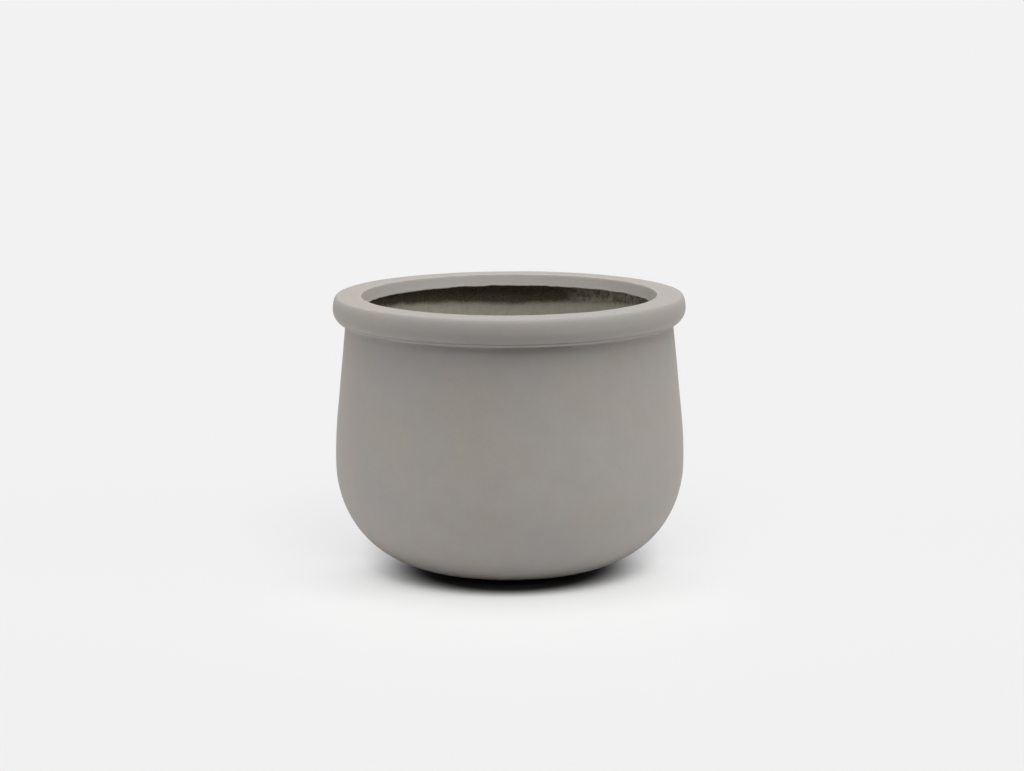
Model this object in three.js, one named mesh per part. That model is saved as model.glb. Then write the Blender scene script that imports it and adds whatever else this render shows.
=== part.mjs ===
// Concrete bowl planter: a round, open bowl in glass-fibre reinforced light concrete.
//
// Millimetres, +Z up. The origin is on the floor, at the centre of the base.
//
// The casting is made of the layers that are laid into its mould one after the other: a fine
// mortar face, a fibre-reinforced backing behind it, a thicker slab on the floor, and a rolled
// rim that hooks over the top of the wall. A flanged sleeve lines the drain hole, and a rubber
// stopper closes it from inside. Every piece is a solid of revolution about Z.

import * as THREE from 'three';
import { mergeVertices } from 'three/addons/utils/BufferGeometryUtils.js';

// ---------------------------------------------------------------- driving dimensions

// Outside form
const height = 318.5;
const width = 425; // across the rim and across the belly, which are equally wide
const bellyHeight = 114; // of the belly's widest ring above the floor
const bellyEase = 60; // height of the curve that leads from the straight wall to the belly
const baseDiameter = 275;
const baseDip = 4; // how far under the floor the lower belly's curve would turn level

// Rolled rim
const rimWidth = 34.5; // from the mouth to the roll's widest ring
const rimOverhang = 14.8; // how far the roll stands out from the neck
const rimHeight = 33.7;
const rimWidestDrop = 16; // from the flat top to the roll's widest ring
const rimShoulderReach = 5.8; // how far the rounded shoulder runs in from the widest ring
const rimLowerRadius = 18.2;
const partingAngle = 46; // of the mould's parting line, in degrees below the widest ring
const partingWidth = 1.6;
const partingDepth = 0.8;
const lipDepth = 15.5; // finished band inside the mouth
const lipDraft = 5; // how far the band slopes inwards over that depth
const lipEdgeRadius = 1.5;

// Wall and floor
const faceThickness = 4;
const backingThickness = 10;
const slabThickness = 9;
const slabFall = 3; // slope of the floor towards the drain
const footRingWidth = 36;
const footRecess = 2;
const footRecessSlope = 3;

// Drain
const drainBore = 25;
const sleeveWall = 2;
const sleeveFlangeWidth = 8;
const sleeveFlangeThickness = 2.5;

// Stopper
const stopperDepth = 16;
const stopperTaper = 1.6; // loss of radius over its depth
const stopperFlangeWidth = 6;
const stopperFlangeThickness = 4;
const stopperChamfer = 1.2;
const gripNeckDiameter = 9;
const gripNeckHeight = 5;
const gripDiameter = 15;
const gripHeight = 9;

// Clearances
const jointGap = 0.3; // between pieces that are laid or pressed against each other
const stopperClearance = 0.3; // on the radius, between the stopper and its bore

// Roundness of the model
const roundSides = 64;
const smallRoundSides = 40;

// ---------------------------------------------------------------- sizes that follow

const rimRadius = width / 2;
const bellyRadius = width / 2;
const mouthRadius = rimRadius - rimWidth;
const neckRadius = rimRadius - rimOverhang;
const baseRadius = baseDiameter / 2;

const wallTop = height - rimHeight - jointGap;
const backingTop = height - lipDepth - jointGap;

const faceFloor = footRecess + faceThickness;
const backingUnderside = faceFloor + jointGap;
const backingFloor = backingUnderside + backingThickness;
const slabUnderside = backingFloor + jointGap;
const slabTop = slabUnderside + slabThickness;
const drainTop = slabTop - slabFall;

const backingOuterDepth = faceThickness + jointGap;
const backingInnerDepth = backingOuterDepth + backingThickness;
const slabDepth = backingInnerDepth + jointGap;

const boreRadius = drainBore / 2;
const sleeveRadius = boreRadius + sleeveWall;
const drainHoleRadius = sleeveRadius + jointGap;
const sleeveFlangeRadius = sleeveRadius + sleeveFlangeWidth;
const pocketRadius = sleeveFlangeRadius + jointGap;
const pocketFloor = drainTop - sleeveFlangeThickness - jointGap;

// ---------------------------------------------------------------- profile tools

// Profiles lie in a half plane: x is the distance from the axis, y is the height.
function at(radius, z) {
  return new THREE.Vector2(radius, z);
}

// A point of an ellipse, with its angle in degrees up from the outward direction.
function onEllipse(centre, reach, rise, degrees) {
  const angle = THREE.MathUtils.degToRad(degrees);
  return at(centre.x + reach * Math.cos(angle), centre.y + rise * Math.sin(angle));
}

// Points along a stretch of an ellipse.
function arc(centre, reach, rise, startAngle, endAngle, steps) {
  const points = [];
  for (let i = 0; i <= steps; i += 1) {
    const degrees = THREE.MathUtils.lerp(startAngle, endAngle, i / steps);
    points.push(onEllipse(centre, reach, rise, degrees));
  }
  return points;
}

// Turns a profile about Z. A closed profile runs clockwise and doesn't repeat its first point;
// an open one starts and ends on the axis, running from its top to its bottom.
function revolve(profile, sides) {
  const onAxis = profile[0].x === 0;
  const loop = onAxis ? profile : [...profile, profile[0]];
  const upwards = loop.map((point) => point.clone()).reverse();
  const turned = new THREE.LatheGeometry(upwards, sides);
  turned.rotateX(Math.PI / 2);
  turned.deleteAttribute('normal');
  turned.deleteAttribute('uv');
  const solid = mergeVertices(turned, 1e-4);
  solid.setIndex(withoutFlatTriangles(solid.index.array));
  solid.computeVertexNormals();
  return solid;
}

// On the axis, each face of a turned profile shrinks to one triangle, and the other is flat.
function withoutFlatTriangles(corners) {
  const kept = [];
  for (let i = 0; i < corners.length; i += 3) {
    const [a, b, c] = corners.slice(i, i + 3);
    if (a !== b && b !== c && c !== a) {
      kept.push(a, b, c);
    }
  }
  return kept;
}

// ---------------------------------------------------------------- the wall's outside curve

// Stations down the outside, from the neck to the edge of the base, each with the direction
// that points out of the wall there. Every layer of the wall is drawn from these stations.
function wallStations() {
  const neck = at(neckRadius, wallTop);
  const widest = at(bellyRadius, bellyHeight);
  const corner = at(bellyRadius, bellyHeight + bellyEase / 2);
  const arm = Math.min(bellyEase / 2, corner.distanceTo(neck) * 0.9);
  const easeStart = corner.clone().add(neck.clone().sub(corner).setLength(arm));

  const drop = bellyHeight + baseDip;
  const baseAngle = Math.asin(bellyHeight / drop);
  const reach = (bellyRadius - baseRadius) / (1 - Math.cos(baseAngle));
  const lowerBelly = new THREE.EllipseCurve(
    bellyRadius - reach, bellyHeight, reach, drop, 0, -baseAngle, true);

  const stretches = [
    { curve: new THREE.LineCurve(neck, easeStart), steps: 1 },
    { curve: new THREE.QuadraticBezierCurve(easeStart, corner, widest), steps: 3 },
    { curve: lowerBelly, steps: 10 },
  ];
  const stations = [];
  for (const { curve, steps } of stretches) {
    const first = stations.length === 0 ? 0 : 1;
    for (let i = first; i <= steps; i += 1) {
      const along = curve.getTangent(i / steps);
      stations.push({ point: curve.getPoint(i / steps), outward: at(-along.y, along.x) });
    }
  }
  return stations;
}

const stations = wallStations();

// The line that lies `depth` inside the outside face, from height `top` down to `bottom`.
// Above the neck it carries on straight, with the wall's own lean.
function wallLine(depth, top, bottom) {
  const line = stations.map(({ point, outward }) => point.clone().addScaledVector(outward, -depth));
  const [first, second] = line;
  const lean = (second.x - first.x) / (second.y - first.y);
  first.set(first.x + lean * (height - first.y), height);
  const points = [];
  for (let i = 1; i < line.length; i += 1) {
    const upper = line[i - 1];
    const lower = line[i];
    const heightAt = (z) => upper.clone().lerp(lower, (upper.y - z) / (upper.y - lower.y));
    if (upper.y >= top && lower.y < top) {
      points.push(heightAt(top));
    }
    if (lower.y < top && lower.y > bottom) {
      points.push(lower);
    }
    if (upper.y > bottom && lower.y <= bottom) {
      points.push(heightAt(bottom));
    }
  }
  return points;
}

// ---------------------------------------------------------------- rolled rim

// Flat top, rounded shoulder, full round under it with the mould's parting line, then the
// socket that hooks over the wall, and the finished lip that hangs in front of the backing. The
// lip slopes, so that the mould's inner collar can be drawn upwards.
function rimProfile() {
  const widest = height - rimWidestDrop;
  const underside = height - rimHeight;
  const lipUnderside = height - lipDepth;

  const draftAngle = Math.atan2(lipDraft, lipDepth);
  const edgeInset = (lipEdgeRadius * (1 - Math.sin(draftAngle))) / Math.cos(draftAngle);
  const lipEdge = at(mouthRadius + edgeInset, height - lipEdgeRadius);
  const lipEdgeStart = 180 - THREE.MathUtils.radToDeg(draftAngle);
  const shoulderCentre = at(rimRadius - rimShoulderReach, widest);
  const rollCentre = at(rimRadius - rimLowerRadius, widest);
  const halfPartingAngle = THREE.MathUtils.radToDeg(partingWidth / 2 / rimLowerRadius);
  const rollEndAngle = THREE.MathUtils.radToDeg(
    Math.asin(Math.min(1, (rimHeight - rimWidestDrop) / rimLowerRadius)));
  const upperRollEnd = -(partingAngle - halfPartingAngle);
  const lowerRollStart = -(partingAngle + halfPartingAngle);
  const grooveRadius = rimLowerRadius - partingDepth;

  const socket = wallLine(faceThickness, lipUnderside, underside);
  return [
    ...arc(lipEdge, lipEdgeRadius, lipEdgeRadius, lipEdgeStart, 90, 2),
    ...arc(shoulderCentre, rimShoulderReach, rimWidestDrop, 90, 0, 7),
    ...arc(rollCentre, rimLowerRadius, rimLowerRadius, 0, upperRollEnd, 4).slice(1),
    onEllipse(rollCentre, grooveRadius, grooveRadius, -partingAngle),
    ...arc(rollCentre, rimLowerRadius, rimLowerRadius, lowerRollStart, -rollEndAngle, 3),
    ...socket.reverse(),
    at(mouthRadius - lipDraft, lipUnderside),
  ];
}

// ---------------------------------------------------------------- wall, floor and drain

function faceProfile() {
  const footRingInside = baseRadius - footRingWidth;
  return [
    ...wallLine(0, wallTop, 0),
    at(footRingInside, 0),
    at(footRingInside - footRecessSlope, footRecess),
    at(drainHoleRadius, footRecess),
    at(drainHoleRadius, faceFloor),
    ...wallLine(faceThickness, wallTop, faceFloor).reverse(),
  ];
}

function backingProfile() {
  return [
    ...wallLine(backingOuterDepth, backingTop, backingUnderside),
    at(drainHoleRadius, backingUnderside),
    at(drainHoleRadius, backingFloor),
    ...wallLine(backingInnerDepth, backingTop, backingFloor).reverse(),
  ];
}

function slabProfile() {
  return [
    ...wallLine(slabDepth, slabTop, slabUnderside),
    at(drainHoleRadius, slabUnderside),
    at(drainHoleRadius, pocketFloor),
    at(pocketRadius, pocketFloor),
    at(pocketRadius, drainTop),
  ];
}

function sleeveProfile() {
  return [
    at(sleeveFlangeRadius, drainTop),
    at(sleeveFlangeRadius, pocketFloor + jointGap),
    at(sleeveRadius, pocketFloor + jointGap),
    at(sleeveRadius, footRecess),
    at(boreRadius, footRecess),
    at(boreRadius, drainTop),
  ];
}

// ---------------------------------------------------------------- stopper

// A tapered plug under a flange that seats on the sleeve, with a round grip to pull it by.
function stopperProfile() {
  const seat = drainTop + jointGap;
  const flangeTop = seat + stopperFlangeThickness;
  const flangeRadius = boreRadius + stopperFlangeWidth;
  const plugRadius = boreRadius - stopperClearance;
  const plugEndRadius = plugRadius - stopperTaper;
  const plugEnd = seat - stopperDepth;
  const gripNeckRadius = gripNeckDiameter / 2;
  const gripCentre = at(0, flangeTop + gripNeckHeight + gripHeight / 2);
  const neckAngle = THREE.MathUtils.radToDeg(Math.asin(gripNeckDiameter / gripDiameter));
  return [
    at(0, flangeTop + gripNeckHeight + gripHeight),
    ...arc(gripCentre, gripDiameter / 2, gripHeight / 2, 90, neckAngle - 90, 7).slice(1),
    at(gripNeckRadius, flangeTop),
    at(flangeRadius - stopperChamfer, flangeTop),
    at(flangeRadius, flangeTop - stopperChamfer),
    at(flangeRadius, seat),
    at(plugRadius, seat),
    at(plugEndRadius, plugEnd + stopperChamfer),
    at(plugEndRadius - stopperChamfer, plugEnd),
    at(0, plugEnd),
  ];
}

// ---------------------------------------------------------------- the planter

function piece(name, geometry, color, roughness) {
  const material = new THREE.MeshStandardMaterial({ color, roughness, metalness: 0 });
  const mesh = new THREE.Mesh(geometry, material);
  mesh.name = name;
  return mesh;
}

const finishedConcrete = 0x9b958f;
const rawConcrete = 0x716c62;
const trowelledConcrete = 0x7b766c;
const drainPlastic = 0x3b3c3c;
const stopperRubber = 0x242424;

const casting = new THREE.Group();
casting.name = 'casting';
casting.add(
  piece('rim_ring', revolve(rimProfile(), roundSides), finishedConcrete, 0.85),
  piece('face_shell', revolve(faceProfile(), roundSides), finishedConcrete, 0.88),
  piece('fibre_backing', revolve(backingProfile(), roundSides), rawConcrete, 0.95),
  piece('base_slab', revolve(slabProfile(), roundSides), trowelledConcrete, 0.95),
  piece('drain_sleeve', revolve(sleeveProfile(), smallRoundSides), drainPlastic, 0.5),
);

const planter = new THREE.Group();
planter.name = 'bowl_planter';
planter.add(
  casting,
  piece('drain_stopper', revolve(stopperProfile(), smallRoundSides), stopperRubber, 0.7),
);

export default planter;
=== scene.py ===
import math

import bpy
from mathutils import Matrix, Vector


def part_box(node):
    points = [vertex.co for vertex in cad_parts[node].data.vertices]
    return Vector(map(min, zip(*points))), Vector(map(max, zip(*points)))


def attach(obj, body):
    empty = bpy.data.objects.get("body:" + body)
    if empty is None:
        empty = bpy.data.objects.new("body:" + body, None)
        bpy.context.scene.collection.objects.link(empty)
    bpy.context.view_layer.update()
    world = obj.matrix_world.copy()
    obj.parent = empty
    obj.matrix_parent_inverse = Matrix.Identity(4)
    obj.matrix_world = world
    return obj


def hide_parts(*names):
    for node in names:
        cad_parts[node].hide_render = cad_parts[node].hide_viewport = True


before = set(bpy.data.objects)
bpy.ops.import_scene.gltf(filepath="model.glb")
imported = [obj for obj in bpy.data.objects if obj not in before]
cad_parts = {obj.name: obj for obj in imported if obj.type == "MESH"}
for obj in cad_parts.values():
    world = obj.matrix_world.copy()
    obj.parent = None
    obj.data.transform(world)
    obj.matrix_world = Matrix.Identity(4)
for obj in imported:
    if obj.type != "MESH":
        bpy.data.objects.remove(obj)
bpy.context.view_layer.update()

# Concrete bowl planter: the fine shapes and the finishes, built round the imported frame.
# Metres, +Z up, origin at the centre of the base. Every layer of the casting is turned from its
# own profile, as the mould and the layers laid into it are round, and then roughened inwards.

MM = 0.001
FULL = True

# ------------------------------------------------------------------ sizes

# Taken from the frame
rim_low, rim_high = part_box("rim_ring")
face_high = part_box("face_shell")[1]
backing_low, backing_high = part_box("fibre_backing")
slab_low, slab_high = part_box("base_slab")
sleeve_low, sleeve_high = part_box("drain_sleeve")
stopper_low, stopper_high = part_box("drain_stopper")

height = rim_high.z
rim_radius = rim_high.x
rim_underside = rim_low.z
wall_top = face_high.z
belly_radius = face_high.x
backing_top = backing_high.z
drain_top = sleeve_high.z
foot_recess = sleeve_low.z

# Outside form
rim_width = 34.5 * MM
rim_overhang = 14.8 * MM
rim_widest_drop = 16 * MM
rim_shoulder_reach = 5.8 * MM
rim_lower_radius = 18.2 * MM
belly_height = 114 * MM
belly_ease = 60 * MM
base_radius = 137.5 * MM
base_dip = 4 * MM
parting_angle = 46
parting_width = 1.8 * MM
parting_depth = 0.8 * MM
mouth_edge_radius = 1.5 * MM
lip_depth = 15.5 * MM
lip_draft = 5 * MM
lip_edge_radius = 0.9 * MM

# Layers
face_thickness = 4 * MM
backing_thickness = 10 * MM
joint_gap = slab_low.z - backing_low.z - backing_thickness
slab_cove = 7 * MM
slab_bond = 1.6 * MM
foot_ring_width = 36 * MM
foot_recess_slope = 3 * MM
foot_edge_radius = 1.2 * MM

# Drain and stopper
bore_radius = 12.5 * MM
sleeve_wall = 2 * MM
sleeve_flange_thickness = 2.5 * MM
stopper_flange_thickness = 4 * MM
stopper_clearance = 0.3 * MM
stopper_taper = 1.6 * MM
grip_neck_radius = 4.5 * MM
grip_neck_height = 5 * MM
grip_radius = 7.5 * MM
grip_height = 9 * MM

# What follows from these
sleeve_radius = bore_radius + sleeve_wall
sleeve_flange_radius = sleeve_high.x
drain_hole_radius = sleeve_radius + joint_gap
pocket_radius = sleeve_flange_radius + joint_gap
stopper_flange_radius = stopper_high.x
stopper_seat = drain_top + joint_gap
stopper_flange_top = stopper_seat + stopper_flange_thickness
stopper_plug_radius = bore_radius - stopper_clearance
stopper_plug_end_radius = stopper_plug_radius - stopper_taper
neck_radius = rim_radius - rim_overhang
mouth_radius = rim_radius - rim_width
lip_underside = height - lip_depth
lip_radius = mouth_radius - lip_draft
face_floor = foot_recess + face_thickness
backing_underside = backing_low.z
backing_floor = backing_underside + backing_thickness
backing_depth = face_thickness + joint_gap
raw_wall_depth = backing_depth + backing_thickness


# ------------------------------------------------------------------ node trees

def colour(hex_value):
    """A written sRGB colour as the linear one that nodes hold."""
    channels = [(hex_value >> shift & 255) / 255 for shift in (16, 8, 0)]
    return [c / 12.92 if c <= 0.04045 else ((c + 0.055) / 1.055) ** 2.4 for c in channels] + [1]


def add(tree, kind, inputs=None, **settings):
    """Adds a node. A value in inputs is set on that socket, and a socket is linked to it."""
    node = tree.nodes.new(kind)
    for name, value in settings.items():
        setattr(node, name, value)
    for socket, value in (inputs or {}).items():
        if isinstance(value, bpy.types.NodeSocket):
            tree.links.new(value, node.inputs[socket])
        else:
            node.inputs[socket].default_value = value
    return node


def new_tree(name, inputs):
    """A geometry tree with named inputs, each (name, kind, value), and one geometry output."""
    tree = bpy.data.node_groups.new(name, "GeometryNodeTree")
    for label, kind, value in inputs:
        socket = tree.interface.new_socket(label, in_out="INPUT", socket_type="NodeSocket" + kind)
        if value is not None:
            socket.default_value = value
    tree.interface.new_socket("Geometry", in_out="OUTPUT", socket_type="NodeSocketGeometry")
    return tree, add(tree, "NodeGroupInput"), add(tree, "NodeGroupOutput")


def close_tree(tree, entry, end, geometry):
    """Ends a tree in Realize Instances and Set Material."""
    real = add(tree, "GeometryNodeRealizeInstances", {"Geometry": geometry})
    painted = add(tree, "GeometryNodeSetMaterial",
                  {"Geometry": real.outputs[0], "Material": entry.outputs["Material"]})
    tree.links.new(painted.outputs[0], end.inputs[0])


def run_tree(piece, tree, values):
    """Runs a geometry tree on a piece and keeps what it makes as the piece's plain mesh."""
    modifier = piece.modifiers.new(tree.name, "NODES")
    modifier.node_group = tree
    for item in tree.interface.items_tree:
        if item.in_out == "INPUT" and item.name in values:
            modifier[item.identifier] = values[item.name]
    graph = bpy.context.evaluated_depsgraph_get()
    made = bpy.data.meshes.new_from_object(piece.evaluated_get(graph), depsgraph=graph)
    piece.modifiers.remove(modifier)
    made.name = piece.name
    piece.data = made
    return piece


def new_piece(name, points=(), edges=()):
    mesh = bpy.data.meshes.new(name)
    mesh.from_pydata(points, edges, [])
    piece = bpy.data.objects.new(name, mesh)
    bpy.context.scene.collection.objects.link(piece)
    return piece


def math_of(tree, operation, first, second=0.0, third=0.0):
    inputs = {0: first, 1: second, 2: third}
    return add(tree, "ShaderNodeMath", inputs, operation=operation).outputs[0]


def times(tree, value, *others):
    """Multiplies values, one after the other."""
    for other in others:
        value = math_of(tree, "MULTIPLY", value, other)
    return value


def smooth_range(tree, value, start, end, low=0.0, high=1.0):
    """Leads value smoothly from low at start to high at end."""
    inputs = {"Value": value, "From Min": start, "From Max": end, "To Min": low, "To Max": high}
    return add(tree, "ShaderNodeMapRange", inputs, interpolation_type="SMOOTHSTEP").outputs[0]


# ------------------------------------------------------------------ turning a profile

TURNED_INPUTS = [
    ("Profile", "Geometry", None),
    ("Sides", "Int", 256),
    ("Wave Size", "Float", 60 * MM),
    ("Wave Depth", "Float", 0.2 * MM),
    ("Grain Size", "Float", 8 * MM),
    ("Grain Depth", "Float", 0.05 * MM),
    ("Streak Width", "Float", 4 * MM),
    ("Streak Depth", "Float", 0.0),
    ("Pit Spacing", "Float", 9 * MM),
    ("Pit Depth", "Float", 0.0),
    ("Pit Share", "Float", 0.4),
    ("Ragged Size", "Float", 16 * MM),
    ("Ragged Rise", "Float", 0.0),
    ("Seed", "Float", 0.0),
    ("Crease Angle", "Float", math.radians(50)),
    ("Material", "Material", None),
]


def turned_layer_tree():
    """Turns a profile about Z, then sinks its worked surface by waves, grain, streaks and pits.

    The profile is a line of points in the XZ plane, clockwise, each with its own share of relief
    and of raggedness. Everything moves into the solid, so the piece keeps to its space."""
    tree, entry, end = new_tree("turned_layer", TURNED_INPUTS)
    given = entry.outputs

    def whole(operation, first, second):
        return add(tree, "FunctionNodeIntegerMath", {0: first, 1: second}, operation=operation).outputs[0]

    line = given["Profile"]
    size = add(tree, "GeometryNodeAttributeDomainSize", {"Geometry": line}, component="MESH")
    rows = size.outputs["Point Count"]
    columns = whole("ADD", given["Sides"], 1)
    grid = add(tree, "GeometryNodeMeshGrid", {"Vertices X": columns, "Vertices Y": rows})
    index = add(tree, "GeometryNodeInputIndex").outputs[0]
    column = whole("DIVIDE_FLOOR", index, rows)
    row = whole("MODULO", index, rows)

    def of_profile(value, kind):
        sample = {"Geometry": line, "Value": value, "Index": row}
        return add(tree, "GeometryNodeSampleIndex", sample, data_type=kind, domain="POINT").outputs[0]

    def profile_share(name):
        named = add(tree, "GeometryNodeInputNamedAttribute", {"Name": name}, data_type="FLOAT")
        return of_profile(named.outputs[0], "FLOAT")

    place = of_profile(add(tree, "GeometryNodeInputPosition").outputs[0], "FLOAT_VECTOR")
    place = add(tree, "ShaderNodeSeparateXYZ", {0: place}).outputs
    angle = times(tree, math_of(tree, "DIVIDE", column, given["Sides"]), -math.tau)
    across = times(tree, place["X"], math_of(tree, "COSINE", angle))
    along = times(tree, place["X"], math_of(tree, "SINE", angle))
    point = add(tree, "ShaderNodeCombineXYZ", {"X": across, "Y": along, "Z": place["Z"]}).outputs[0]

    shape = grid
    for name in ("relief", "ragged"):
        stored = {"Geometry": shape.outputs[0], "Name": name, "Value": profile_share(name)}
        shape = add(tree, "GeometryNodeStoreNamedAttribute", stored, data_type="FLOAT", domain="POINT")
    shape = add(tree, "GeometryNodeSetPosition", {"Geometry": shape.outputs[0], "Position": point})
    seam = {"Geometry": shape.outputs[0], "Distance": 0.001 * MM}
    shape = add(tree, "GeometryNodeMergeByDistance", seam)

    position = add(tree, "GeometryNodeInputPosition").outputs[0]

    def noise(size_name, detail, stretch=(1, 1, 1)):
        drawn = add(tree, "ShaderNodeVectorMath", {0: position, 1: stretch}, operation="MULTIPLY")
        scale = math_of(tree, "DIVIDE", 1.0, given[size_name])
        settings = {"Vector": drawn.outputs[0], "W": given["Seed"], "Scale": scale, "Detail": detail}
        return add(tree, "ShaderNodeTexNoise", settings, noise_dimensions="4D").outputs[0]

    def kept_share(name):
        return add(tree, "GeometryNodeInputNamedAttribute", {"Name": name}, data_type="FLOAT").outputs[0]

    tooth = smooth_range(tree, noise("Ragged Size", 3.0, (1, 1, 0)), 0.42, 0.75)
    rise = times(tree, tooth, given["Ragged Rise"], kept_share("ragged"))
    lift = add(tree, "ShaderNodeCombineXYZ", {"Z": rise}).outputs[0]
    shape = add(tree, "GeometryNodeSetPosition", {"Geometry": shape.outputs[0], "Offset": lift})

    waves = times(tree, smooth_range(tree, noise("Wave Size", 2.0), 0.25, 0.75), given["Wave Depth"])
    grain = times(tree, noise("Grain Size", 4.0), given["Grain Depth"])
    streaks = times(tree, noise("Streak Width", 2.0, (1, 1, 0.12)), given["Streak Depth"])

    pits_apart = math_of(tree, "DIVIDE", 1.0, given["Pit Spacing"])
    cells = add(tree, "ShaderNodeTexVoronoi", {"Vector": position, "W": given["Seed"], "Scale": pits_apart},
                voronoi_dimensions="4D", feature="F1").outputs
    chance = add(tree, "ShaderNodeSeparateXYZ", {0: cells["Color"]}).outputs
    is_pit = math_of(tree, "LESS_THAN", chance["X"], given["Pit Share"])
    pit_radius = math_of(tree, "MULTIPLY_ADD", chance["Y"], 0.26, 0.14)
    hollow = smooth_range(tree, math_of(tree, "DIVIDE", cells["Distance"], pit_radius), 1.0, 0.25)
    pit_depth = times(tree, given["Pit Depth"], math_of(tree, "MULTIPLY_ADD", chance["Z"], 0.7, 0.3))
    pits = times(tree, hollow, is_pit, pit_depth)

    sunk = math_of(tree, "ADD", math_of(tree, "ADD", waves, grain), math_of(tree, "ADD", streaks, pits))
    depth = times(tree, sunk, kept_share("relief"), -1.0)
    normal = add(tree, "GeometryNodeInputNormal").outputs[0]
    inward = add(tree, "ShaderNodeVectorMath", {0: normal, "Scale": depth}, operation="SCALE").outputs[0]
    shape = add(tree, "GeometryNodeSetPosition", {"Geometry": shape.outputs[0], "Offset": inward})

    bend = add(tree, "GeometryNodeInputMeshEdgeAngle").outputs["Unsigned Angle"]
    creased = add(tree, "FunctionNodeCompare", {0: bend, 1: given["Crease Angle"]},
                  data_type="FLOAT", operation="GREATER_THAN").outputs[0]
    soft = {"Geometry": shape.outputs[0], "Shade Smooth": True}
    shape = add(tree, "GeometryNodeSetShadeSmooth", soft, domain="FACE")
    sharp = {"Geometry": shape.outputs[0], "Selection": creased, "Shade Smooth": False}
    shape = add(tree, "GeometryNodeSetShadeSmooth", sharp, domain="EDGE")
    close_tree(tree, entry, end, shape.outputs[0])
    return tree


def spread(points, spacing):
    """The same line with a point at least every spacing. Its last point is left to what follows."""
    line = []
    for (r0, z0), (r1, z1) in zip(points, points[1:]):
        steps = max(1, math.ceil(math.hypot(r1 - r0, z1 - z0) / spacing))
        line += [(r0 + (r1 - r0) * i / steps, z0 + (z1 - z0) * i / steps) for i in range(steps)]
    return line


def arc(centre, reach, rise, start, end, steps):
    """Points along a stretch of an ellipse, by angles in degrees up from the outward direction."""
    points = []
    for i in range(steps + 1):
        angle = math.radians(start + (end - start) * i / steps)
        points.append((centre[0] + reach * math.cos(angle), centre[1] + rise * math.sin(angle)))
    return points


def turned(tree, name, profile, values):
    """Makes a piece from a profile of (radius, height, relief, raggedness) points."""
    count = len(profile)
    piece = new_piece(name, [(r, 0, z) for r, z, _, _ in profile], [(i, i + 1) for i in range(count - 1)])
    for label, column in (("relief", 2), ("ragged", 3)):
        share = piece.data.attributes.new(label, "FLOAT", "POINT")
        share.data.foreach_set("value", [point[column] for point in profile])
    return run_tree(piece, tree, values)


def shares(points, relief=0.0, ragged=0.0):
    return [(r, z, relief, ragged) for r, z in points]


# ------------------------------------------------------------------ the wall's outside curve

def wall_stations():
    """Points down the outside with the direction out of the wall: straight, eased, then elliptic."""
    neck = Vector((neck_radius, wall_top))
    widest = Vector((belly_radius, belly_height))
    corner = Vector((belly_radius, belly_height + belly_ease / 2))
    ease_start = corner + (neck - corner).normalized() * belly_ease / 2
    drop = belly_height + base_dip
    base_angle = math.asin(belly_height / drop)
    reach = (belly_radius - base_radius) / (1 - math.cos(base_angle))
    belly_centre = Vector((belly_radius - reach, belly_height))

    stations = []

    def station(point, along):
        stations.append((point, Vector((-along.y, along.x)).normalized()))

    ease_steps, belly_steps = 16, 64
    station(neck + (neck - ease_start).normalized() * (height - wall_top), ease_start - neck)
    station(neck, ease_start - neck)
    for i in range(ease_steps):
        t = i / ease_steps
        point = ease_start * (1 - t) ** 2 + corner * 2 * t * (1 - t) + widest * t ** 2
        station(point, (corner - ease_start) * (1 - t) + (widest - corner) * t)
    for i in range(belly_steps + 1):
        angle = -base_angle * i / belly_steps
        point = belly_centre + Vector((reach * math.cos(angle), drop * math.sin(angle)))
        station(point, Vector((reach * math.sin(angle), -drop * math.cos(angle))))
    return stations


STATIONS = wall_stations()


def wall_line(depth, top, bottom):
    """The line that lies depth inside the outside face, from height top down to bottom."""
    line = [point - outward * depth for point, outward in STATIONS]
    points = []
    for upper, lower in zip(line, line[1:]):
        for limit in (top, bottom):
            if upper.y > limit >= lower.y:
                cut = upper.lerp(lower, (upper.y - limit) / (upper.y - lower.y))
                points.append((cut.x, cut.y))
        if bottom < lower.y < top:
            points.append((lower.x, lower.y))
    return points


# ------------------------------------------------------------------ profiles, clockwise

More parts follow.
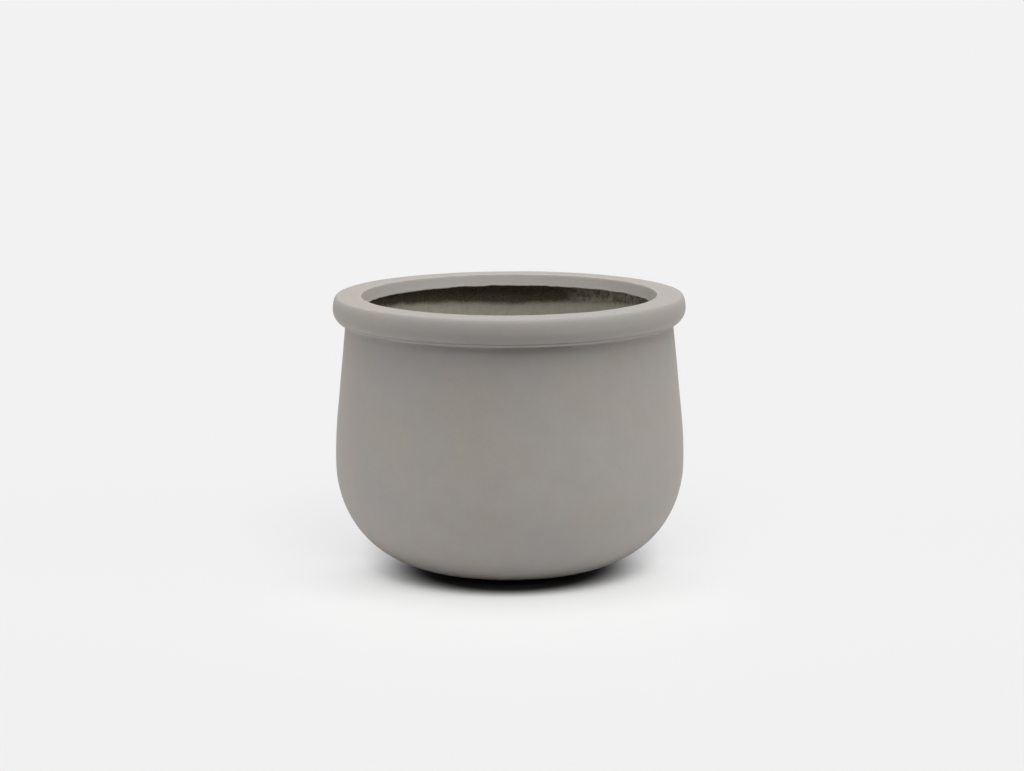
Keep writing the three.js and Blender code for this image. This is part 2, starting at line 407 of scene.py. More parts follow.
def rim_profile():
    """Flat top, rounded shoulder, full roll with the mould's parting line, socket and lip."""
    widest = height - rim_widest_drop
    draft = math.atan2(lip_draft, lip_depth)
    edge_inset = mouth_edge_radius * (1 - math.sin(draft)) / math.cos(draft)
    mouth_edge = (mouth_radius + edge_inset, height - mouth_edge_radius)
    lip_slope = 180 - math.degrees(draft)
    shoulder = (rim_radius - rim_shoulder_reach, widest)
    roll = (rim_radius - rim_lower_radius, widest)
    roll_end = math.degrees(math.asin((widest - rim_underside) / rim_lower_radius))
    half = math.degrees(parting_width / 2 / rim_lower_radius)

    flat = [(mouth_edge[0], height), (shoulder[0], height)]
    outside = arc(mouth_edge, mouth_edge_radius, mouth_edge_radius, lip_slope, 90, 6)
    outside += spread(flat, 2.4 * MM)[1:]
    outside += arc(shoulder, rim_shoulder_reach, rim_widest_drop, 90, 0, 22)
    outside += arc(roll, rim_lower_radius, rim_lower_radius, 0, -parting_angle + half, 14)[1:]
    groove_steps = 6
    for i in range(1, groove_steps):
        share = i / groove_steps
        radius = rim_lower_radius - parting_depth * math.sin(math.pi * share)
        angle = -parting_angle + half - 2 * half * share
        outside += arc(roll, radius, radius, angle, angle, 1)[:1]
    outside += arc(roll, rim_lower_radius, rim_lower_radius, -parting_angle - half, -roll_end, 10)

    socket = wall_line(face_thickness, lip_underside, rim_underside)[::-1]
    lip_inset = lip_edge_radius * (1 + math.sin(draft)) / math.cos(draft)
    lip_edge = (lip_radius + lip_inset, lip_underside + lip_edge_radius)
    underside = [(socket[-1][0], lip_underside), (lip_edge[0], lip_underside)]
    rounded = arc(lip_edge, lip_edge_radius, lip_edge_radius, 270, lip_slope, 4)
    lip_face = [rounded[-1], outside[0]]
    profile = shares(outside, 1.0)
    profile += shares([(neck_radius, rim_underside)] + spread(socket, 6 * MM))
    for r, z in spread(underside, 1.5 * MM):
        profile.append((r, z, 0.0, max(0.0, 1 - (r - lip_radius) / (9 * MM))))
    profile += shares(rounded, 0.6, 1.0)
    for r, z in spread(lip_face, 1.2 * MM)[1:]:
        profile.append((r, z, 1.0, max(0.0, 1 - (z - lip_edge[1]) / (4 * MM))))
    return profile + profile[:1]


def face_profile():
    """Outside of the wall and belly, the foot ring it stands on, and the recess inside that."""
    ring_inside = base_radius - foot_ring_width
    top = rim_underside - 0.02 * MM  # a hair under the rim, which it must not cut into
    outside = wall_line(0, wall_top, foot_edge_radius)
    outside = [(neck_radius, top)] + spread(outside, 3.4 * MM) + outside[-1:]
    foot = [(base_radius, 0.25 * MM), (base_radius - foot_edge_radius, 0), (ring_inside, 0)]
    recess = [(ring_inside - foot_recess_slope, foot_recess), (drain_hole_radius, foot_recess)]
    hidden = wall_line(face_thickness, wall_top, face_floor)
    inside = [(drain_hole_radius, face_floor), hidden[-1]] + hidden[:-1][::4][::-1]
    profile = [(r, z, min(1.0, z / (12 * MM)), 0.0) for r, z in outside]
    profile += shares(spread(foot + recess, 4 * MM))
    profile += shares(spread(inside, 30 * MM) + [(inside[-1][0], top)])
    return profile + profile[:1]


def backing_profile():
    """The hand-laid wall: hidden behind the face, open to view inside."""
    hidden = wall_line(backing_depth, backing_top, backing_underside)
    raw = [(drain_hole_radius, backing_floor)] + wall_line(raw_wall_depth, backing_top, backing_floor)[::-1]
    raw_low = [point for point in raw if point[1] < slab_low.z]
    raw_wall = [point for point in raw if slab_low.z <= point[1]]
    fine_from = backing_top - 70 * MM
    fine_start = next(i for i, point in enumerate(raw_wall) if point[1] > fine_from)
    below, above = raw_wall[:fine_start], raw_wall[fine_start - 1:]
    (r0, z0), (r1, z1) = above[:2]
    join = (r0 + (r1 - r0) * (fine_from - z0) / (z1 - z0), fine_from)
    profile = shares(hidden[::6] + hidden[-1:] + [(drain_hole_radius, backing_underside)])
    profile += shares(spread(raw_low + raw_wall[:1], 40 * MM))
    for r, z in spread(below + [join], 4.2 * MM):
        profile.append((r, z, min(1.0, max(0.25, (z - slab_high.z) / (28 * MM))), 0.0))
    profile += shares(spread([join] + above[1:], 1.9 * MM), 1.0)
    profile += shares([above[-1]])
    return profile + profile[:1]


def slab_profile():
    """The trowelled floor, coved up against the wall and falling to the drain."""
    edge = wall_line(raw_wall_depth - slab_bond, slab_high.z + slab_cove, slab_low.z)
    foot_of_cove = (edge[0][0] - slab_cove * 1.6, slab_high.z - 0.3 * MM)
    cove_corner = (wall_line(raw_wall_depth, slab_high.z, slab_low.z)[0][0], slab_high.z)
    cove = []
    cove_steps = 8
    for i in range(cove_steps + 1):
        t = i / cove_steps
        cove.append(tuple(a * (1 - t) ** 2 + b * 2 * t * (1 - t) + c * t ** 2
                          for a, b, c in zip(foot_of_cove, cove_corner, edge[0])))
    pocket_floor = drain_top - sleeve_flange_thickness - joint_gap
    top = spread([(pocket_radius + 0.8 * MM, drain_top), foot_of_cove], 2.6 * MM)
    hidden = edge[1:] + [(drain_hole_radius, slab_low.z), (drain_hole_radius, pocket_floor),
                         (pocket_radius, pocket_floor), (pocket_radius, drain_top - 0.8 * MM)]
    profile = [(r, z, min(1.0, (r - pocket_radius) / (12 * MM)), 0.0) for r, z in top]
    profile += shares(cove, 1.0) + shares(hidden)
    return profile + profile[:1]


def sleeve_profile():
    """A moulded plastic sleeve with a softly rounded flange."""
    soft = 0.7 * MM
    flange_underside = drain_top - sleeve_flange_thickness
    bore_edge = (bore_radius + soft, drain_top - soft)
    flange_edge = (sleeve_flange_radius - soft, drain_top - soft)
    points = arc(bore_edge, soft, soft, 180, 90, 5)
    points += spread([(bore_edge[0], drain_top), (flange_edge[0], drain_top)], 2 * MM)[1:]
    points += arc(flange_edge, soft, soft, 90, 0, 5)
    points += [(sleeve_flange_radius, flange_underside), (sleeve_radius, flange_underside)]
    points += [(sleeve_radius, foot_recess), (bore_radius, foot_recess)]
    return shares(points + points[:1])


def stopper_profile():
    """A tapered plug, a seating flange with a raised ring, and a round grip."""
    soft = 1.2 * MM
    ring_radius = stopper_flange_radius - 3.6 * MM
    ring_half = 0.9 * MM
    ring_rise = 0.45 * MM
    grip_centre = (0, stopper_flange_top + grip_neck_height + grip_height / 2)
    under_grip = math.degrees(math.acos(grip_neck_radius / grip_radius))
    flange_edge = (stopper_flange_radius - soft, stopper_flange_top - soft)
    lower_edge = (stopper_flange_radius - soft / 2, stopper_seat + soft / 2)
    plug_end = stopper_low.z
    end_edge = (stopper_plug_end_radius - soft, plug_end + soft)
    neck_fillet = (grip_neck_radius + soft, stopper_flange_top + soft)

    points = [(0, stopper_high.z)]
    points += arc(grip_centre, grip_radius, grip_height / 2, 90, -under_grip, 22)[1:]
    points += arc(neck_fillet, soft, soft, 180, 270, 5)
    ring_steps = 6
    for i in range(ring_steps + 1):
        t = i / ring_steps
        points.append((ring_radius - ring_half + 2 * ring_half * t,
                       stopper_flange_top + ring_rise * math.sin(math.pi * t)))
    points += arc(flange_edge, soft, soft, 90, 0, 5)
    points += arc(lower_edge, soft / 2, soft / 2, 0, -90, 3)
    points += [(stopper_plug_radius, stopper_seat)]
    points += arc(end_edge, soft, soft, 0, -90, 5)
    points += [(0, plug_end)]
    return shares(points, 0.0)


# ------------------------------------------------------------------ what is laid on the raw wall

SCATTER_INPUTS = [
    ("Wall", "Geometry", None),
    ("Length", "Float", 2 * MM),
    ("Thickness", "Float", 1 * MM),
    ("Per Square Metre", "Float", 1000.0),
    ("Lowest", "Float", 30 * MM),
    ("Highest", "Float", 300 * MM),
    ("Sunk", "Float", 0.3),
    ("Seed", "Int", 1),
    ("Material", "Material", None),
]


def scatter_tree(name, round_bits):
    """Strews small bits over a wall's inside: round crumbs, or thin strands that lie flat on it."""
    tree, entry, end = new_tree(name, SCATTER_INPUTS)
    given = entry.outputs
    position = add(tree, "GeometryNodeInputPosition").outputs[0]
    normal = add(tree, "GeometryNodeInputNormal").outputs[0]
    level = add(tree, "ShaderNodeSeparateXYZ", {0: position}).outputs["Z"]
    facing = add(tree, "ShaderNodeVectorMath", {0: normal, 1: position}, operation="DOT_PRODUCT")

    def compared(value, operation, limit):
        return add(tree, "FunctionNodeCompare", {0: value, 1: limit}, operation=operation).outputs[0]

    def both(first, second):
        return add(tree, "FunctionNodeBooleanMath", {0: first, 1: second}, operation="AND").outputs[0]

    above = compared(level, "GREATER_THAN", given["Lowest"])
    below = compared(level, "LESS_THAN", given["Highest"])
    inside = compared(facing.outputs["Value"], "LESS_THAN", -0.05)  # faces the axis
    chosen = both(both(above, below), inside)
    spots = add(tree, "GeometryNodeDistributePointsOnFaces",
                {"Mesh": given["Wall"], "Selection": chosen, "Density": given["Per Square Metre"],
                 "Seed": given["Seed"]}, distribute_method="RANDOM")

    if round_bits:
        bit = add(tree, "GeometryNodeMeshIcoSphere", {"Radius": 0.5, "Subdivisions": 2}).outputs[0]
    else:
        bit = add(tree, "GeometryNodeMeshCube", {"Size": (1, 1, 1), "Vertices X": 5, "Vertices Y": 2,
                                                 "Vertices Z": 2}).outputs[0]

    def random(low, high, own):
        inputs = {"Min": low, "Max": high, "Seed": math_of(tree, "ADD", given["Seed"], float(own))}
        return add(tree, "FunctionNodeRandomValue", inputs, data_type="FLOAT").outputs[1]

    # Most bits are small and a few are large, as in any heap of grit.
    largeness = math_of(tree, "POWER", random(0.0, 1.0, 1), 2.5)
    growth = math_of(tree, "MULTIPLY_ADD", largeness, 0.75, 0.25)
    long_side = times(tree, given["Length"], growth)
    cross = times(tree, given["Thickness"], growth if round_bits else 1.0)
    scale = add(tree, "ShaderNodeCombineXYZ", {"X": long_side, "Y": cross, "Z": cross}).outputs[0]
    any_angle = random(-math.pi, math.pi, 2)
    spin = add(tree, "FunctionNodeAxisAngleToRotation", {"Axis": (0, 0, 1), "Angle": any_angle}).outputs[0]
    spun = {"Rotation": spots.outputs["Rotation"], "Rotate By": spin}
    tilt = add(tree, "FunctionNodeRotateRotation", spun, rotation_space="LOCAL")
    placed = add(tree, "GeometryNodeInstanceOnPoints",
                 {"Points": spots.outputs["Points"], "Instance": bit, "Rotation": tilt.outputs[0],
                  "Scale": scale})
    sinking = add(tree, "ShaderNodeCombineXYZ", {"Z": times(tree, cross, given["Sunk"], -1.0)})
    sunk = add(tree, "GeometryNodeTranslateInstances",
               {"Instances": placed.outputs[0], "Translation": sinking.outputs[0], "Local Space": False})
    close_tree(tree, entry, end, sunk.outputs[0])
    return tree


# ------------------------------------------------------------------ materials

def per(size):
    """A texture's scale for features of that size."""
    return 1 / size


def new_material(name, **principled):
    """A material with its shader, and the object's own coordinates with radius and height."""
    material = bpy.data.materials.new(name)
    material.use_nodes = True
    tree = material.node_tree
    shader = tree.nodes["Principled BSDF"]
    for socket, value in principled.items():
        shader.inputs[socket.replace("_", " ")].default_value = value
    point = add(tree, "ShaderNodeTexCoord").outputs["Object"]
    place = add(tree, "ShaderNodeSeparateXYZ", {0: point}).outputs
    across = times(tree, place["X"], place["X"])
    radius = math_of(tree, "SQRT", math_of(tree, "MULTIPLY_ADD", place["Y"], place["Y"], across))
    return material, tree, shader, point, radius, place["Z"]


def noise_of(tree, point, size, detail=3.0, roughness=0.5, stretch=(1, 1, 1)):
    spread_point = add(tree, "ShaderNodeMapping", {"Vector": point, "Scale": stretch}).outputs[0]
    inputs = {"Vector": spread_point, "Scale": per(size), "Detail": detail, "Roughness": roughness}
    return add(tree, "ShaderNodeTexNoise", inputs).outputs[0]


def mixed(tree, share, first, second, blend="MIX"):
    inputs = {0: share, 6: first, 7: second}
    return add(tree, "ShaderNodeMix", inputs, data_type="RGBA", blend_type=blend).outputs[2]


def shaded(tree, tone, value, low, high):
    """Multiplies a colour by a grey that goes from low to high with value."""
    level = smooth_range(tree, value, 0.25, 0.75, low, high)
    return add(tree, "ShaderNodeVectorMath", {0: tone, "Scale": level}, operation="SCALE").outputs[0]


def bumped(tree, shader, value, depth, strength=1.0):
    bump = add(tree, "ShaderNodeBump", {"Height": value, "Distance": depth, "Strength": strength})
    tree.links.new(bump.outputs[0], shader.inputs["Normal"])


def fine_cast_concrete():
    """Fine mortar cast against a smooth mould, rubbed down and sealed matt.

    To the eye: even warm grey with faint warm and cool clouds, a very fine sandy tooth, a few
    pinholes, the mouth's edge lighter from wear and a painted highlight, the lip's face paler
    from painted light, and bare cement where the coat ends."""
    material, tree, shader, point, radius, level = new_material(
        "fine_cast_concrete", IOR=1.5, Specular_IOR_Level=0.45)
    clouds = noise_of(tree, point, 75 * MM, 2.0)
    patches = noise_of(tree, point, 22 * MM, 4.0, 0.6)
    sand = noise_of(tree, point, 1.3 * MM, 2.0, 0.7)  # the real sand is 0.3 mm, too fine to show

    tone = mixed(tree, smooth_range(tree, clouds, 0.35, 0.65), colour(0xA49D97), colour(0xA19D99))
    tone = shaded(tree, tone, patches, 0.974, 1.026)
    tone = shaded(tree, tone, sand, 0.97, 1.03)

    holes = add(tree, "ShaderNodeTexVoronoi", {"Vector": point, "Scale": per(17 * MM)}).outputs
    chance = add(tree, "ShaderNodeSeparateXYZ", {0: holes["Color"]}).outputs
    hole_size = math_of(tree, "MULTIPLY_ADD", chance["Y"], 0.03, 0.012)
    hole = smooth_range(tree, math_of(tree, "DIVIDE", holes["Distance"], hole_size), 1.0, 0.6)
    hole = times(tree, hole, math_of(tree, "LESS_THAN", chance["X"], 0.35))
    tone = mixed(tree, times(tree, hole, 0.55), tone, colour(0x5E5952))

    # The mouth's edge is handled most and is painted lighter: partly wear, partly a painted highlight along
    # the edge.
    wear_and_highlight = times(tree, smooth_range(tree, radius, mouth_radius + 3 * MM, mouth_radius),
                   smooth_range(tree, level, height - 4 * MM, height - 1 * MM),
                   smooth_range(tree, patches, 0.3, 0.7, 0.3, 0.7))
    tone = mixed(tree, wear_and_highlight, tone, colour(0xBDB8B1))

    # The lip's face is painted paler: painted light, for more light from the front than the lamps give.
    upper = math_of(tree, "GREATER_THAN", level, rim_underside)
    painted_lip_light = times(tree, smooth_range(tree, radius, mouth_radius + 1.5 * MM, mouth_radius - 0.5 * MM),
                    smooth_range(tree, level, height - 0.5 * MM, height - 2 * MM), upper)
    tone = mixed(tree, times(tree, painted_lip_light, 0.35), tone, colour(0xBDB9B3))

    # The sealed coat stops in an uneven line at the lip's underside and at the foot.
    wander = times(tree, noise_of(tree, point, 9 * MM, 4.0), 1.6 * MM)
    line = math_of(tree, "SUBTRACT", level, wander)
    under_lip = smooth_range(tree, line, lip_underside - 0.1 * MM, lip_underside - 0.9 * MM)
    at_lip = times(tree, under_lip, math_of(tree, "LESS_THAN", radius, lip_radius + 14 * MM), upper)
    at_foot = smooth_range(tree, line, 0.9 * MM, 0.1 * MM)
    in_recess = times(tree, math_of(tree, "LESS_THAN", radius, base_radius - foot_ring_width),
                      math_of(tree, "LESS_THAN", level, face_floor))
    bare = math_of(tree, "MAXIMUM", at_lip, math_of(tree, "MAXIMUM", at_foot, in_recess))
    cement = shaded(tree, mixed(tree, patches, colour(0x7A756B), colour(0x8A857C)), sand, 0.85, 1.15)
    tone = mixed(tree, bare, tone, cement)

    tree.links.new(tone, shader.inputs["Base Color"])
    tree.links.new(smooth_range(tree, patches, 0.2, 0.8, 0.6, 0.72), shader.inputs["Roughness"])
    tooth = math_of(tree, "MULTIPLY_ADD", hole, -3.0, sand)
    bumped(tree, shader, tooth, 0.05 * MM, 0.7)
    return material


def hand_laid_concrete():
    """Fibre-reinforced mortar pressed on by hand and left as it was: never sealed.

    To the eye: darker, olive grey and dry, with pits, upright brush and finger streaks, and under
    the lip a brown band, partly damp marks and partly painted shadow of the lip, over a paler
    band of painted light."""
    material, tree, shader, point, radius, level = new_material(
        "hand_laid_concrete", IOR=1.5, Specular_IOR_Level=0.2)
    place = add(tree, "ShaderNodeSeparateXYZ", {0: point}).outputs
    blotches = noise_of(tree, point, 26 * MM, 5.0, 0.62)
    mottle = noise_of(tree, point, 7 * MM, 5.0, 0.65)
    streaks = noise_of(tree, point, 3.2 * MM, 3.0, 0.6, (1, 1, 0.14))
    grit = noise_of(tree, point, 1.1 * MM, 3.0, 0.75)

    tone = mixed(tree, smooth_range(tree, blotches, 0.35, 0.65), colour(0xC1BBAD), colour(0xCBC6B9))
    tone = shaded(tree, tone, mottle, 0.84, 1.1)
    tone = shaded(tree, tone, streaks, 0.95, 1.05)
    tone = shaded(tree, tone, grit, 0.84, 1.13)

    pores = add(tree, "ShaderNodeTexVoronoi", {"Vector": point, "Scale": per(7 * MM)}).outputs
    chance = add(tree, "ShaderNodeSeparateXYZ", {0: pores["Color"]}).outputs
    pore_size = math_of(tree, "MULTIPLY_ADD", chance["Y"], 0.13, 0.07)
    pore = smooth_range(tree, math_of(tree, "DIVIDE", pores["Distance"], pore_size), 1.0, 0.5)
    pore = times(tree, pore, math_of(tree, "LESS_THAN", chance["X"], 0.6))
    tone = mixed(tree, times(tree, pore, 0.6), tone, colour(0x544D42))

    # Under the lip the top of the wall is painted brown and dark: partly a damp stain and partly
    # painted shadow of the lip, in an uneven band that is wider at the front and back than at the
    # sides, as that shadow is, and patchy, with less painted shadow, on one side. Below it a paler
    # band is painted light, for the lit part of the wall under that shadow.
    wander = math_of(tree, "MULTIPLY_ADD", mottle, 5 * MM, times(tree, blotches, 8 * MM))
    facing = math_of(tree, "DIVIDE", math_of(tree, "ABSOLUTE", place["Y"]), radius)
    narrower = math_of(tree, "SUBTRACT", 1.0, facing)
    narrower = math_of(tree, "SQRT", math_of(tree, "MAXIMUM", narrower, 0.0))
    above = math_of(tree, "MULTIPLY_ADD", narrower, -15 * MM, math_of(tree, "ADD", level, wander))
    # Painted light: a paler band below the painted shadow.
    bloom_and_painted_light = times(tree, smooth_range(tree, above, backing_top - 17 * MM, backing_top - 29 * MM),
                  smooth_range(tree, above, backing_top - 75 * MM, backing_top - 40 * MM))
    tone = mixed(tree, times(tree, bloom_and_painted_light, 0.55), tone, colour(0xE2DED2))
    # Painted shadow of the lip, together with the brown stain.
    stain_and_shadow = smooth_range(tree, above, backing_top - 22 * MM, backing_top - 14 * MM)
    stain_and_shadow_tone = mixed(tree, smooth_range(tree, grit, 0.42, 0.68), colour(0x453C31), colour(0x776C61))
    patchy = times(tree, smooth_range(tree, place["X"], 65 * MM, 95 * MM),
                   smooth_range(tree, mottle, 0.4, 0.6, 0.15, 0.55))
    stain_and_shadow = times(tree, stain_and_shadow, math_of(tree, "SUBTRACT", 0.95, patchy))
    tone = mixed(tree, stain_and_shadow, tone, stain_and_shadow_tone)
    above_floor = math_of(tree, "SUBTRACT", level, wander)
    near_floor = smooth_range(tree, above_floor, slab_high.z + 14 * MM, slab_high.z)
    tone = mixed(tree, times(tree, near_floor, 0.5), tone, colour(0x6A6458))

    tree.links.new(tone, shader.inputs["Base Color"])
    tree.links.new(smooth_range(tree, mottle, 0.2, 0.8, 0.88, 1.0), shader.inputs["Roughness"])
    height_of = math_of(tree, "MULTIPLY_ADD", grit, 0.6, times(tree, streaks, 0.8))
    bumped(tree, shader, height_of, 0.5 * MM, 0.8)
    return material


def trowelled_concrete():
    """Stiffer mortar floated level with a small steel trowel and not sealed.

    To the eye: grey-brown, closed and fairly smooth, with faint sweeping trowel arcs, small
    tears in the skin, and darker towards the wall."""
    material, tree, shader, point, radius, _ = new_material(
        "trowelled_concrete", IOR=1.5, Specular_IOR_Level=0.25)
    blotches = noise_of(tree, point, 40 * MM, 4.0, 0.6)
    grit = noise_of(tree, point, 1.4 * MM, 3.0, 0.7)
    warp = noise_of(tree, point, 60 * MM, 2.0)
    sweep = add(tree, "ShaderNodeCombineXYZ",
                {"X": math_of(tree, "MULTIPLY_ADD", warp, 60 * MM, radius), "Y": warp}).outputs[0]
    arcs = noise_of(tree, sweep, 5 * MM, 3.0, 0.6)
    tone = mixed(tree, smooth_range(tree, blotches, 0.35, 0.65), colour(0x8B8579), colour(0x9A958A))
    tone = shaded(tree, tone, arcs, 0.93, 1.06)
    tone = shaded(tree, tone, grit, 0.86, 1.13)
    edge_of_floor = smooth_range(tree, radius, 150 * MM, 160 * MM)
    tone = mixed(tree, times(tree, edge_of_floor, 0.45), tone, colour(0x6C665A))
    tree.links.new(tone, shader.inputs["Base Color"])
    tree.links.new(smooth_range(tree, arcs, 0.2, 0.8, 0.8, 0.95), shader.inputs["Roughness"])
    bumped(tree, shader, math_of(tree, "MULTIPLY_ADD", grit, 0.5, arcs), 0.35 * MM, 0.8)
    return material


def moulded_pvc():
    """Injection-moulded rigid PVC, dark grey.

    To the eye: an even satin sheen, faint turned marks from the mould, and thin mortar haze."""
    material, tree, shader, point, radius, level = new_material(
        "moulded_pvc", IOR=1.53, Specular_IOR_Level=0.5)
    haze = noise_of(tree, point, 9 * MM, 4.0, 0.65)
    around = add(tree, "ShaderNodeCombineXYZ", {"X": radius, "Y": level}).outputs[0]
    rings = noise_of(tree, around, 0.9 * MM)
    dust = times(tree, smooth_range(tree, haze, 0.45, 0.7),
                 smooth_range(tree, radius, bore_radius, sleeve_flange_radius, 0.25, 0.8))
    tone = mixed(tree, dust, colour(0x37393A), colour(0x8A867D))
    tree.links.new(tone, shader.inputs["Base Color"])
    tree.links.new(smooth_range(tree, haze, 0.3, 0.7, 0.38, 0.72), shader.inputs["Roughness"])
    bumped(tree, shader, rings, 0.04 * MM, 0.5)
    return material


def moulded_rubber():
    """Compression-moulded black rubber, filled with carbon black.

    To the eye: near black and matt, a fine mould grain, and pale bloom and dust on its top."""
    material, tree, shader, point, _, _ = new_material(
        "moulded_rubber", IOR=1.52, Specular_IOR_Level=0.35)
    bloom_and_painted_light = noise_of(tree, point, 6 * MM, 4.0, 0.6)
    grain = noise_of(tree, point, 0.6 * MM, 2.0)
    tone = mixed(tree, smooth_range(tree, bloom_and_painted_light, 0.4, 0.75, 0.0, 0.35), colour(0x222222), colour(0x6B6964))
    tree.links.new(tone, shader.inputs["Base Color"])
    tree.links.new(smooth_range(tree, bloom_and_painted_light, 0.2, 0.8, 0.6, 0.8), shader.inputs["Roughness"])
    bumped(tree, shader, grain, 0.05 * MM, 0.6)
    return material


def coated_strand():
    """A chopped glass-fibre bundle, wetted with cement slurry as it was rolled in.

    To the eye: a thin line a little paler than the mortar that it lies in."""
    material, tree, shader, point, _, _ = new_material(
        "coated_strand", IOR=1.5, Specular_IOR_Level=0.3)
    slurry = noise_of(tree, point, 5 * MM, 3.0)
    tone = mixed(tree, smooth_range(tree, slurry, 0.35, 0.6), colour(0xBDB7AA), colour(0xA8A294))
    tree.links.new(tone, shader.inputs["Base Color"])
    tree.links.new(smooth_range(tree, slurry, 0.2, 0.8, 0.7, 0.95), shader.inputs["Roughness"])
    return material


# ------------------------------------------------------------------ the pieces

finished = fine_cast_concrete()
raw = hand_laid_concrete()
floated = trowelled_concrete()
pvc = moulded_pvc()
rubber = moulded_rubber()
strand = coated_strand()

layer = turned_layer_tree()
sides = 512 if FULL else 192
raw_sides = 576 if FULL else 256

rolled_rim = turned(layer, "rolled_rim", rim_profile(), {
    "Sides": sides, "Wave Size": 70 * MM, "Wave Depth": 0.35 * MM, "Grain Size": 9 * MM,
    "Grain Depth": 0.1 * MM, "Ragged Size": 14 * MM, "Ragged Rise": 1.5 * MM, "Seed": 1.0,
    "Material": finished})
outer_face = turned(layer, "outer_face", face_profile(), {
    "Sides": sides, "Wave Size": 90 * MM, "Wave Depth": 0.35 * MM, "Grain Size": 12 * MM,
    "Grain Depth": 0.1 * MM, "Seed": 2.0, "Material": finished})
raw_wall = turned(layer, "raw_wall", backing_profile(), {
    "Sides": raw_sides, "Wave Size": 34 * MM, "Wave Depth": 1.5 * MM, "Grain Size": 9 * MM,
    "Grain Depth": 0.9 * MM, "Streak Width": 5 * MM, "Streak Depth": 0.7 * MM,
    "Pit Spacing": 9 * MM, "Pit Depth": 1.3 * MM, "Pit Share": 0.45, "Seed": 3.0,
    "Material": raw})
trowelled_floor = turned(layer, "trowelled_floor", slab_profile(), {
    "Sides": sides, "Wave Size": 45 * MM, "Wave Depth": 0.9 * MM, "Grain Size": 10 * MM,
    "Grain Depth": 0.4 * MM, "Pit Spacing": 16 * MM, "Pit Depth": 0.7 * MM, "Pit Share": 0.25,
    "Seed": 4.0, "Material": floated})
drain_lining = turned(layer, "drain_lining", sleeve_profile(), {"Sides": 96, "Material": pvc})
rubber_stopper = turned(layer, "rubber_stopper", stopper_profile(), {"Sides": 96, "Material": rubber})


def strewn(tree, name, wall, values):
    """Strews bits over a wall that is already a plain mesh."""
    piece = bpy.data.objects.new(name, wall.data.copy())
    bpy.context.scene.collection.objects.link(piece)
    return run_tree(piece, tree, values)


mortar_crumbs = strewn(scatter_tree("crumbs", True), "mortar_crumbs", raw_wall, {
    "Length": 3.2 * MM, "Thickness": 2.4 * MM, "Per Square Metre": 6500.0, "Lowest": 36 * MM,
    "Highest": backing_top - 1.5 * MM, "Sunk": 0.22, "Seed": 11, "Material": raw})
fibre_strands = strewn(scatter_tree("strands", False), "fibre_strands", raw_wall, {
    "Length": 16 * MM, "Thickness": 0.45 * MM, "Per Square Metre": 1800.0, "Lowest": 46 * MM,
    "Highest": backing_top - 32 * MM, "Sunk": 0.1, "Seed": 12, "Material": strand})

STANDS_FOR = [
    (rolled_rim, "planter", "rim_ring", "finished_concrete"),
    (outer_face, "planter", "face_shell", "finished_concrete"),
    (raw_wall, "planter", "fibre_backing", "raw_concrete"),
    (trowelled_floor, "planter", "base_slab", "trowelled_concrete"),
    (drain_lining, "planter", "drain_sleeve", "drain_plastic"),
    (rubber_stopper, "stopper", "drain_stopper", "stopper_rubber"),
]
for piece, body, node, slot in STANDS_FOR:
    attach(piece, body)
    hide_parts(node)
for piece in (mortar_crumbs, fibre_strands):
    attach(piece, "planter")

# ------------------------------------------------------------------ camera, floor and light

target = Vector((3.05 * MM, 0, 204.7 * MM))
camera_distance = 2.193
camera_elevation = math.radians(10.91)
camera_roll = -0.0041
focal_length = 63.28

camera_data = bpy.data.cameras.new("camera")
camera_data.lens = focal_length
camera_data.sensor_width = 36
camera = bpy.data.objects.new("camera", camera_data)
bpy.context.scene.collection.objects.link(camera)
back = Vector((0, -math.cos(camera_elevation), math.sin(camera_elevation)))
camera.location = target + back * camera_distance
camera.rotation_euler = (math.pi / 2 - camera_elevation, 0, 0)
camera.rotation_euler.rotate_axis("Z", camera_roll)
camera_data.clip_start = 0.05
camera_data.clip_end = 200
bpy.context.scene.camera = camera

background = colour(0xF2F2F2)
floor_seen = 0.665
floor_bounce = 0.88
front_bounce = 0.77
floor_front = 0.7  # metres in front of the planter, past which the floor returns little light
contact_start = base_radius - 70 * MM  # where the contact shadow is darkest up to, at the sides
contact_stretch = 103 * MM  # how much further out that is straight in front
contact_end = base_radius + 69 * MM


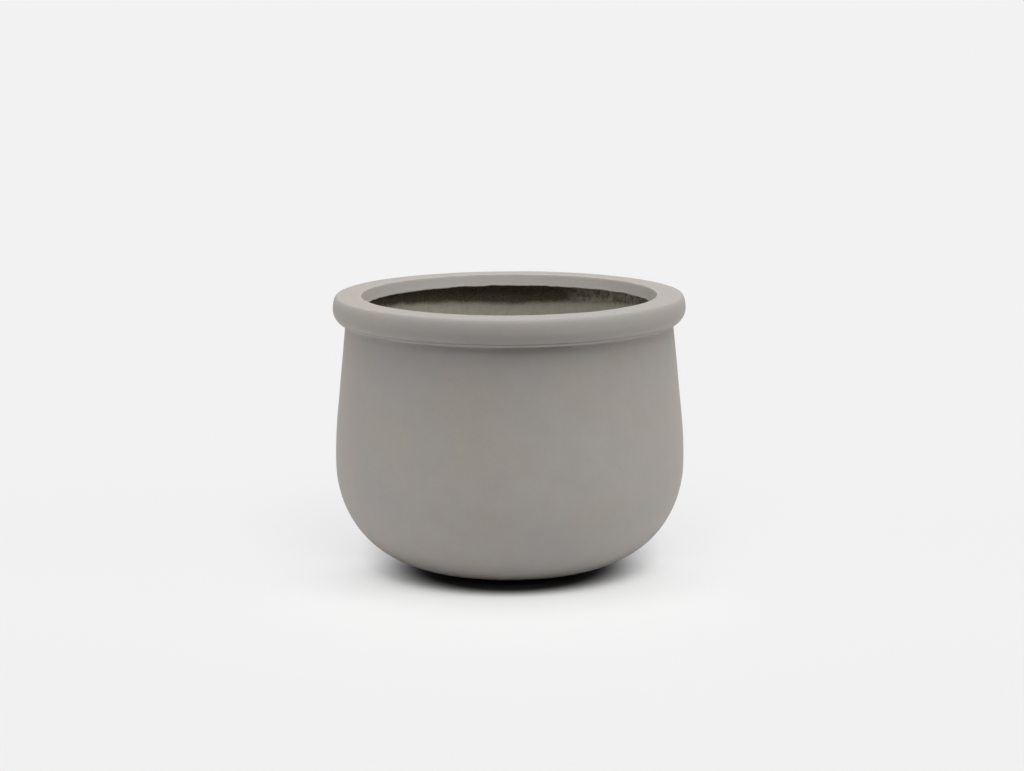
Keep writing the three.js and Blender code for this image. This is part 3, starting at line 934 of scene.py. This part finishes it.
def studio_floor():
    """A matt white floor, level and wide enough to run to the horizon.

    Towards the front it returns less light, as a sweep that ends in front of the object does.
    The camera sees the contact shadow deepened, most at the front and back, and the sides lifted
    to the backdrop. Under the foot the floor lets light through, which shows the underside when
    the camera is below."""
    material = bpy.data.materials.new("studio_floor")
    material.use_nodes = True
    tree = material.node_tree
    tree.nodes.clear()
    point = add(tree, "ShaderNodeTexCoord").outputs["Object"]
    distance = add(tree, "ShaderNodeVectorMath", {0: point}, operation="LENGTH").outputs["Value"]
    front = times(tree, add(tree, "ShaderNodeSeparateXYZ", {0: point}).outputs["Y"], -1.0)
    frontal = math_of(tree, "DIVIDE", front, distance)
    seen = add(tree, "ShaderNodeLightPath").outputs["Is Camera Ray"]
    unseen = math_of(tree, "SUBTRACT", 1.0, seen)

    near_bounce = smooth_range(tree, frontal, 0.5, 0.95, floor_bounce, front_bounce)
    ended = smooth_range(tree, front, floor_front - 0.15, floor_front + 0.15, 1.0, 0.15)
    bounce = times(tree, unseen, near_bounce, ended)

    front_or_back = math_of(tree, "MAXIMUM", frontal, times(tree, frontal, -0.75))
    darkest_to = math_of(tree, "MULTIPLY_ADD", front_or_back, contact_stretch, contact_start)
    contact = smooth_range(tree, distance, darkest_to, contact_end, 0.03, 1.06)
    contact = times(tree, contact, math_of(tree, "GREATER_THAN", distance, base_radius - 2 * MM))
    shown = times(tree, contact, floor_seen)
    pale = math_of(tree, "MULTIPLY_ADD", seen, shown, bounce)
    white = add(tree, "ShaderNodeBsdfDiffuse", {"Color": pale}).outputs[0]

    far = smooth_range(tree, distance, 0.9, 2.2)
    lifted = smooth_range(tree, frontal, 0.95, 0.25, 0.0, 0.82)
    share = times(tree, math_of(tree, "MAXIMUM", far, lifted), seen)
    backdrop = add(tree, "ShaderNodeEmission", {
        "Color": background, "Strength": math_of(tree, "MINIMUM", contact, 1.0)}).outputs[0]
    lit = add(tree, "ShaderNodeMixShader", {0: share, 1: white, 2: backdrop}).outputs[0]
    from_below = add(tree, "ShaderNodeNewGeometry").outputs["Backfacing"]
    under_foot = times(tree, math_of(tree, "LESS_THAN", distance, base_radius - 1 * MM), unseen)
    clear = add(tree, "ShaderNodeBsdfTransparent").outputs[0]
    both = add(tree, "ShaderNodeMixShader",
               {0: math_of(tree, "MAXIMUM", from_below, under_foot), 1: lit, 2: clear}).outputs[0]
    add(tree, "ShaderNodeOutputMaterial", {"Surface": both})
    return material


floor_half = 30.0
floor_level = -0.1 * MM  # just clear of the foot, which lies flat on it
floor_corners = ((-1, -1), (1, -1), (1, 1), (-1, 1))
floor_mesh = bpy.data.meshes.new("floor")
corners = [(x * floor_half, y * floor_half, floor_level) for x, y in floor_corners]
floor_mesh.from_pydata(corners, [], [(0, 1, 2, 3)])
floor_mesh.materials.append(studio_floor())
floor = bpy.data.objects.new("floor", floor_mesh)
bpy.context.scene.collection.objects.link(floor)

# Softboxes far enough away to light evenly, each with its azimuth from the front, its elevation
# and its apparent width, in degrees, and its strength. The last one shines up through the floor.
SOFTBOXES = [
    ("overhead_softbox", 0, 86, 40, 2.1),
    ("front_left_softbox", -30, 52, 22, 0.55),
    ("front_right_softbox", 30, 52, 22, 0.58),
    ("high_right_softbox", 60, 65, 25, 0.55),
    ("left_softbox", -88, 14, 30, 0.40),
    ("right_softbox", 80, 28, 30, 0.45),
    ("under_foot_softbox", 0, -90, 40, 1.6),
]
for name, azimuth, elevation, width, strength in SOFTBOXES:
    lamp = bpy.data.lights.new(name, "SUN")
    lamp.energy = strength
    lamp.angle = math.radians(width)
    softbox = bpy.data.objects.new(name, lamp)
    bpy.context.scene.collection.objects.link(softbox)
    a, e = math.radians(azimuth), math.radians(elevation)
    towards_light = Vector((math.sin(a) * math.cos(e), -math.cos(a) * math.cos(e), math.sin(e)))
    softbox.rotation_euler = towards_light.to_track_quat("Z", "Y").to_euler()

room_light = 0.03
world = bpy.data.worlds.new("studio")
world.use_nodes = True
bpy.context.scene.world = world
tree = world.node_tree
tree.nodes.clear()
path = add(tree, "ShaderNodeLightPath").outputs
mirrored = math_of(tree, "MAXIMUM", path["Is Glossy Ray"], path["Is Transmission Ray"])
shown = math_of(tree, "MAXIMUM", path["Is Camera Ray"], mirrored)
ambient = add(tree, "ShaderNodeBackground", {"Color": [1, 1, 1, 1], "Strength": room_light}).outputs[0]
backdrop = add(tree, "ShaderNodeBackground", {"Color": background, "Strength": 1.0}).outputs[0]
both = add(tree, "ShaderNodeMixShader", {0: shown, 1: ambient, 2: backdrop}).outputs[0]
add(tree, "ShaderNodeOutputWorld", {"Surface": both})

bpy.context.scene.view_settings.view_transform = "Standard"
